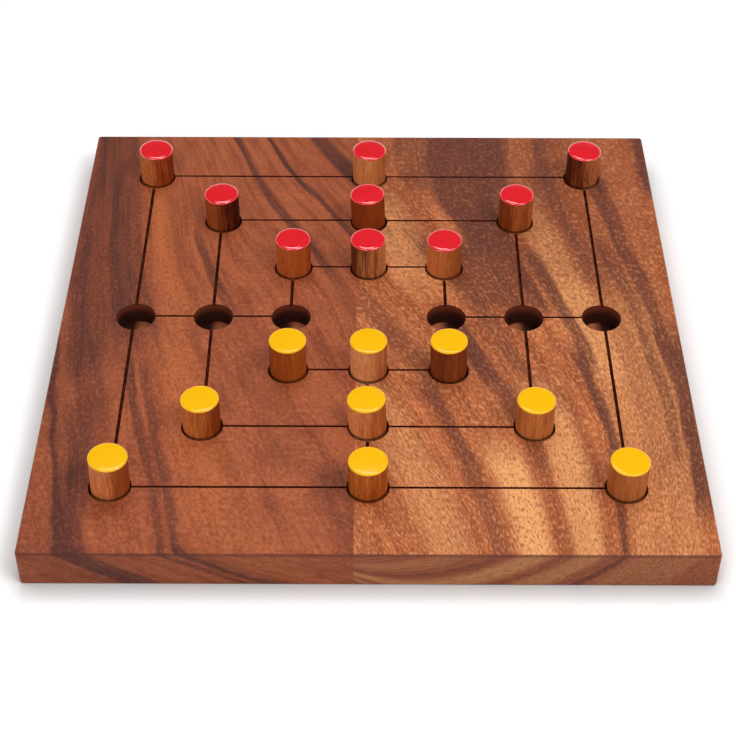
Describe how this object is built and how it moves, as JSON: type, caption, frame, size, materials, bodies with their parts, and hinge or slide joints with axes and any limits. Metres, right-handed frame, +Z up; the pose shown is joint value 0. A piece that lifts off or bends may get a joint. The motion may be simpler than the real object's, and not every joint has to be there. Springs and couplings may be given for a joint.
{
  "type": "nine men's morris board",
  "caption": "Flat hardwood board game: drilled points joined by cut lines on three nested squares, with loose dowel pegs whose tops are painted red or yellow.",
  "frame": {"origin": "middle of the board's outline, on the flat underside that it lies on", "axes": "+Z up, +X to the right along the front edge, +Y away from the front, towards the red pegs; the wood's grain runs along Y"},
  "size_m": [0.236, 0.24, 0.03],
  "materials": {
    "left_plank_wood": "reddish-brown hardwood with long dark streaks, oiled to a satin sheen",
    "right_plank_wood": "orange-brown hardwood with open dark pores and purple-brown streaks, oiled to a satin sheen",
    "peg_wood": "turned hardwood dowel, red-brown to light tan from peg to peg, satin",
    "red_paint": "thick bright red enamel, glossy",
    "yellow_paint": "thick warm yellow enamel, glossy"
  },
  "bodies": {
    "board": {"left_plank": "left_plank_wood", "right_plank": "right_plank_wood"},
    "red_inner_left": {"red_peg_inner_left": "peg_wood", "red_paint_inner_left": "red_paint"},
    "red_inner_centre": {"red_peg_inner_centre": "peg_wood", "red_paint_inner_centre": "red_paint"},
    "red_inner_right": {"red_peg_inner_right": "peg_wood", "red_paint_inner_right": "red_paint"},
    "red_middle_left": {"red_peg_middle_left": "peg_wood", "red_paint_middle_left": "red_paint"},
    "red_middle_centre": {"red_peg_middle_centre": "peg_wood", "red_paint_middle_centre": "red_paint"},
    "red_middle_right": {"red_peg_middle_right": "peg_wood", "red_paint_middle_right": "red_paint"},
    "red_outer_left": {"red_peg_outer_left": "peg_wood", "red_paint_outer_left": "red_paint"},
    "red_outer_centre": {"red_peg_outer_centre": "peg_wood", "red_paint_outer_centre": "red_paint"},
    "red_outer_right": {"red_peg_outer_right": "peg_wood", "red_paint_outer_right": "red_paint"},
    "yellow_inner_left": {"yellow_peg_inner_left": "peg_wood", "yellow_paint_inner_left": "yellow_paint"},
    "yellow_inner_centre": {"yellow_peg_inner_centre": "peg_wood", "yellow_paint_inner_centre": "yellow_paint"},
    "yellow_inner_right": {"yellow_peg_inner_right": "peg_wood", "yellow_paint_inner_right": "yellow_paint"},
    "yellow_middle_left": {"yellow_peg_middle_left": "peg_wood", "yellow_paint_middle_left": "yellow_paint"},
    "yellow_middle_centre": {"yellow_peg_middle_centre": "peg_wood", "yellow_paint_middle_centre": "yellow_paint"},
    "yellow_middle_right": {"yellow_peg_middle_right": "peg_wood", "yellow_paint_middle_right": "yellow_paint"},
    "yellow_outer_left": {"yellow_peg_outer_left": "peg_wood", "yellow_paint_outer_left": "yellow_paint"},
    "yellow_outer_centre": {"yellow_peg_outer_centre": "peg_wood", "yellow_paint_outer_centre": "yellow_paint"},
    "yellow_outer_right": {"yellow_peg_outer_right": "peg_wood", "yellow_paint_outer_right": "yellow_paint"}
  },
  "joints": [
    {"name": "lift_red_inner_left", "type": "slide", "parent": "board", "child": "red_inner_left", "axis": [0, 0, 1], "range_m": [0, 0.03]},
    {"name": "lift_red_inner_centre", "type": "slide", "parent": "board", "child": "red_inner_centre", "axis": [0, 0, 1], "range_m": [0, 0.03]},
    {"name": "lift_red_inner_right", "type": "slide", "parent": "board", "child": "red_inner_right", "axis": [0, 0, 1], "range_m": [0, 0.03]},
    {"name": "lift_red_middle_left", "type": "slide", "parent": "board", "child": "red_middle_left", "axis": [0, 0, 1], "range_m": [0, 0.03]},
    {"name": "lift_red_middle_centre", "type": "slide", "parent": "board", "child": "red_middle_centre", "axis": [0, 0, 1], "range_m": [0, 0.03]},
    {"name": "lift_red_middle_right", "type": "slide", "parent": "board", "child": "red_middle_right", "axis": [0, 0, 1], "range_m": [0, 0.03]},
    {"name": "lift_red_outer_left", "type": "slide", "parent": "board", "child": "red_outer_left", "axis": [0, 0, 1], "range_m": [0, 0.03]},
    {"name": "lift_red_outer_centre", "type": "slide", "parent": "board", "child": "red_outer_centre", "axis": [0, 0, 1], "range_m": [0, 0.03]},
    {"name": "lift_red_outer_right", "type": "slide", "parent": "board", "child": "red_outer_right", "axis": [0, 0, 1], "range_m": [0, 0.03]},
    {"name": "lift_yellow_inner_left", "type": "slide", "parent": "board", "child": "yellow_inner_left", "axis": [0, 0, 1], "range_m": [0, 0.03]},
    {"name": "lift_yellow_inner_centre", "type": "slide", "parent": "board", "child": "yellow_inner_centre", "axis": [0, 0, 1], "range_m": [0, 0.03]},
    {"name": "lift_yellow_inner_right", "type": "slide", "parent": "board", "child": "yellow_inner_right", "axis": [0, 0, 1], "range_m": [0, 0.03]},
    {"name": "lift_yellow_middle_left", "type": "slide", "parent": "board", "child": "yellow_middle_left", "axis": [0, 0, 1], "range_m": [0, 0.03]},
    {"name": "lift_yellow_middle_centre", "type": "slide", "parent": "board", "child": "yellow_middle_centre", "axis": [0, 0, 1], "range_m": [0, 0.03]},
    {"name": "lift_yellow_middle_right", "type": "slide", "parent": "board", "child": "yellow_middle_right", "axis": [0, 0, 1], "range_m": [0, 0.03]},
    {"name": "lift_yellow_outer_left", "type": "slide", "parent": "board", "child": "yellow_outer_left", "axis": [0, 0, 1], "range_m": [0, 0.03]},
    {"name": "lift_yellow_outer_centre", "type": "slide", "parent": "board", "child": "yellow_outer_centre", "axis": [0, 0, 1], "range_m": [0, 0.03]},
    {"name": "lift_yellow_outer_right", "type": "slide", "parent": "board", "child": "yellow_outer_right", "axis": [0, 0, 1], "range_m": [0, 0.03]}
  ]
}
